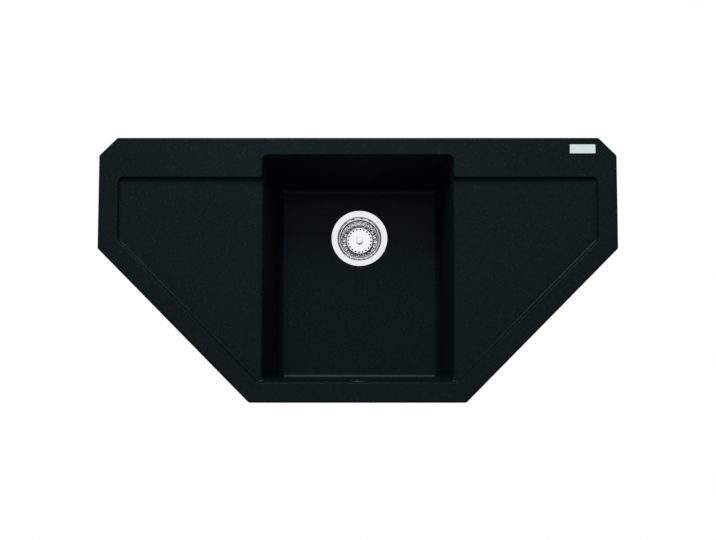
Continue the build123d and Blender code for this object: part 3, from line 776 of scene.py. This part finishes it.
class SINK_OT_basket(bpy.types.Operator):
    """Builds the pressed strainer basket with slots round its wall and small holes round its floor."""

    bl_idname = "corner_sink.basket"
    bl_label = "Strainer basket"

    def execute(self, context):
        s = context.scene.corner_sink
        # Radii and heights in millimetres; the wall runs straight from its shoulder to its foot.
        sheet, rim, lip, stem_hole, hole_ring = 0.9, 41.2, 39.6, 2.6, 23.6
        shoulder, foot = Vector((36.7, 0.0, -1.9)), Vector((26.8, 0.0, -22.0))
        under = foot.z - sheet
        wall = foot - shoulder
        bm = bmesh.new()
        outline(
            bm,
            [
                (rim, 0.0), (lip, 0.0), (shoulder.x, shoulder.z), (foot.x, foot.z), (stem_hole, foot.z),
                (stem_hole, under), (foot.x + 0.5, under), (shoulder.x + sheet, shoulder.z - 0.7),
                (lip + 0.3, -sheet), (rim - 0.7, -sheet), (rim - 0.7, -2.4), (rim, -2.4),
            ],
            {0: 0.5, 1: 0.6, 3: 1.6, 6: 2.4},
        )
        revolve(bm, 240)
        bmesh.ops.translate(bm, verts=bm.verts, vec=(0.0, 0.0, BASKET_RIM))
        basket = new_object("strainer_basket", bm)

        width, length = s.basket_slot
        tool = bmesh.new()
        bmesh.ops.create_cube(tool, size=1.0)
        bmesh.ops.scale(tool, verts=tool.verts, vec=(length, width, 0.006))
        upright = [e for e in tool.edges if abs(e.verts[0].co.z - e.verts[1].co.z) > 0.001]
        bmesh.ops.bevel(
            tool, geom=upright, offset=width * 0.36, segments=6, profile=0.5, affect="EDGES", material=-1
        )
        lean = Matrix.Rotation(wall.angle(Vector((-1.0, 0.0, 0.0))), 4, "Y")
        middle = shoulder + wall * 0.5
        place = Matrix.Translation(middle * MM + Vector((0.0, 0.0, BASKET_RIM))) @ lean.inverted()
        bmesh.ops.transform(tool, matrix=place, verts=tool.verts)
        repeat_round(tool, s.basket_openings)
        cut(basket, tool)

        tool = bmesh.new()
        bmesh.ops.create_cone(
            tool, cap_ends=True, segments=20, radius1=s.basket_hole, radius2=s.basket_hole, depth=0.006
        )
        bmesh.ops.translate(tool, verts=tool.verts, vec=(hole_ring * MM, 0.0, BASKET_RIM + foot.z * MM))
        repeat_round(tool, s.basket_openings)
        half_pitch = Matrix.Rotation(pi / s.basket_openings, 4, "Z")
        bmesh.ops.transform(tool, matrix=half_pitch, verts=tool.verts)
        cut(basket, tool)
        turn = Matrix.Translation(WASTE) @ Matrix.Rotation(s.basket_turn, 4, "Z")
        basket.data.transform(turn)
        shine = polished("basket_steel", tuple(1.06 * channel for channel in s.steel_colour), 0.07)
        seat(basket, "basket", "polished_steel", shine, "basket")
        paint(shine, "basket_stem")
        shade_from_softbox(basket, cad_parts["basket_stem"])
        rubber = moulded("seal_rubber", RUBBER, 0.7, 0.00005)
        paint(rubber, "basket_seal")
        paint(moulded("catch_nylon", (0.02, 0.02, 0.021), 0.45, 0.00003), "stem_catch")
        return {"FINISHED"}


class SINK_OT_knob(bpy.types.Operator):
    """Turns the knob that the basket is lifted by, with a flared foot."""

    bl_idname = "corner_sink.knob"
    bl_label = "Basket knob"

    def execute(self, context):
        s = context.scene.corner_sink
        bm = bmesh.new()
        outline(
            bm,
            [(0.0, 12.0), (6.5, 12.0), (6.5, 8.8), (3.9, 6.6), (3.9, 2.0), (6.1, 0.0), (0.0, 0.0)],
            {1: 0.4, 2: 0.8, 3: 1.2, 4: 2.0},
        )
        revolve(bm, 96)
        bmesh.ops.translate(bm, verts=bm.verts, vec=WASTE + Vector((0.0, 0.0, KNOB_LOW[2])))
        shine = polished("knob_steel", tuple(1.06 * channel for channel in s.steel_colour), 0.06)
        knob = new_object("turned_knob", bm)
        seat(knob, "basket", "knob_steel", shine, "basket_knob")
        shade_from_softbox(knob)
        return {"FINISHED"}


class SINK_OT_overflow(bpy.types.Operator):
    """Finishes the overflow and builds its corrugated hose."""

    bl_idname = "corner_sink.overflow"
    bl_label = "Overflow and hose"

    def execute(self, context):
        s = context.scene.corner_sink
        black = moulded("cover_black", s.composite_colour, 0.4, 0.00003)
        paint(black, "overflow_cover")
        paint(plated("black_steel", (0.02, 0.021, 0.022), 0.4, 0.6), "overflow_screw")
        rubber = moulded("washer_rubber", RUBBER, 0.7, 0.00005)
        paint(rubber, "overflow_gasket", "hose_washers")
        white = moulded("overflow_polypropylene", POLYPROPYLENE, 0.42, 0.00003)
        paint(white, "overflow_elbow", "hose_nuts")

        # The hose leaves the elbow downwards, passes under the bowl and ends in the waste body's port.
        stub_y, port_z = HOSE_LOW[1] + HOSE_RADIUS, -0.222
        corners = [
            Vector((0.0, stub_y, HOSE_HIGH[2])),
            Vector((0.0, stub_y, -0.196)),
            Vector((0.0, stub_y + 0.048, -0.232)),
            Vector((0.0, -0.086, port_z)),
            Vector((0.0, HOSE_HIGH[1], port_z)),
        ]
        crest, valley = HOSE_RADIUS, HOSE_RADIUS - s.hose_groove
        bm = bmesh.new()
        ring = []
        for number, (place, ahead) in enumerate(route(corners, s.hose_wave / 4)):
            radius = crest if number % 4 < 2 else valley
            aim = ahead.to_track_quat("Z", "X").to_matrix().to_4x4()
            made = bmesh.ops.create_circle(
                bm, cap_ends=False, segments=32, radius=radius, matrix=Matrix.Translation(place) @ aim
            )
            edges = list({edge for vert in made["verts"] for edge in vert.link_edges})
            if ring:
                bmesh.ops.bridge_loops(bm, edges=ring + edges)
            ring = edges
        hose = new_object("corrugated_hose", bm)
        plastic = moulded("hose_plastic", (0.66, 0.67, 0.66), 0.5, 0.00003)
        seat(hose, "sink", "hose_plastic", plastic, "overflow_hose")
        return {"FINISHED"}


class SINK_OT_clips(bpy.types.Operator):
    """Finishes the worktop clips and threads their screws."""

    bl_idname = "corner_sink.clips"
    bl_label = "Worktop clips"

    def execute(self, context):
        s = context.scene.corner_sink
        zinc = plated("zinc_plate", (0.52, 0.54, 0.56), 0.36)
        paint(zinc, "clip_brackets", "anchor_screws")
        paint(plated("die_casting", (0.42, 0.43, 0.44), 0.5), *JAWS)
        paint(plated("insert_brass", BRASS, 0.34), "anchor_inserts")
        for node in SCREWS:
            low, high = (Vector(corner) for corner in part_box(node))
            tip, core, crest, head = (high.z - low.z) / MM, 2.6, 3.0, 5.5
            bm = bmesh.new()
            outline(
                bm,
                [
                    (0.0, tip), (2.0, tip), (core, tip - 0.8), (core, 8.1), (head, 8.1), (head, 6.6),
                    (crest, 6.6), (crest, 4.0), (head, 4.0), (head, 0.0), (0.0, 0.0),
                ],
                {9: 1.3},
            )
            revolve(bm, 48)
            screw = new_object(f"threaded_{node}", bm)
            # A slot for a screwdriver across the head.
            tool = bmesh.new()
            bmesh.ops.create_cube(tool, size=1.0)
            bmesh.ops.scale(tool, verts=tool.verts, vec=(0.0165, 0.0014, 0.004))
            cut(screw, tool)
            bm = bmesh.new()
            bm.from_mesh(screw.data)
            thread(bm, core, crest, s.thread_lead / MM, 8.6, tip - 1.2, 3, 18)
            middle = (low + high) / 2
            bmesh.ops.translate(bm, verts=bm.verts, vec=(middle.x, middle.y, low.z))
            bm.to_mesh(screw.data)
            bm.free()
            seat(screw, node, "zinc_steel", zinc, node)
        return {"FINISHED"}


class SINK_PT_panel(bpy.types.Panel):
    """Lists the sink's settings and its pieces."""

    bl_label = "Corner Sink"
    bl_idname = "SINK_PT_panel"
    bl_space_type = "VIEW_3D"
    bl_region_type = "UI"
    bl_category = "Corner Sink"

    def draw(self, context):
        for name in CornerSinkSettings.__annotations__:
            self.layout.prop(context.scene.corner_sink, name)
        for operator in OPERATORS:
            self.layout.operator(operator.bl_idname)


OPERATORS = (
    SINK_OT_stage,
    SINK_OT_body,
    SINK_OT_cup,
    SINK_OT_basket,
    SINK_OT_knob,
    SINK_OT_overflow,
    SINK_OT_clips,
)


def register():
    """Adds the settings, the operators and the panel."""
    for item in (CornerSinkSettings, *OPERATORS, SINK_PT_panel):
        bpy.utils.register_class(item)
    bpy.types.Scene.corner_sink = bpy.props.PointerProperty(type=CornerSinkSettings)


def unregister():
    """Takes them away again."""
    del bpy.types.Scene.corner_sink
    for item in reversed((CornerSinkSettings, *OPERATORS, SINK_PT_panel)):
        bpy.utils.unregister_class(item)


def main():
    """Makes every piece in order."""
    register()
    bpy.ops.corner_sink.stage()
    bpy.ops.corner_sink.body()
    bpy.ops.corner_sink.cup()
    bpy.ops.corner_sink.basket()
    bpy.ops.corner_sink.knob()
    bpy.ops.corner_sink.overflow()
    bpy.ops.corner_sink.clips()


if __name__ == "__main__":
    main()
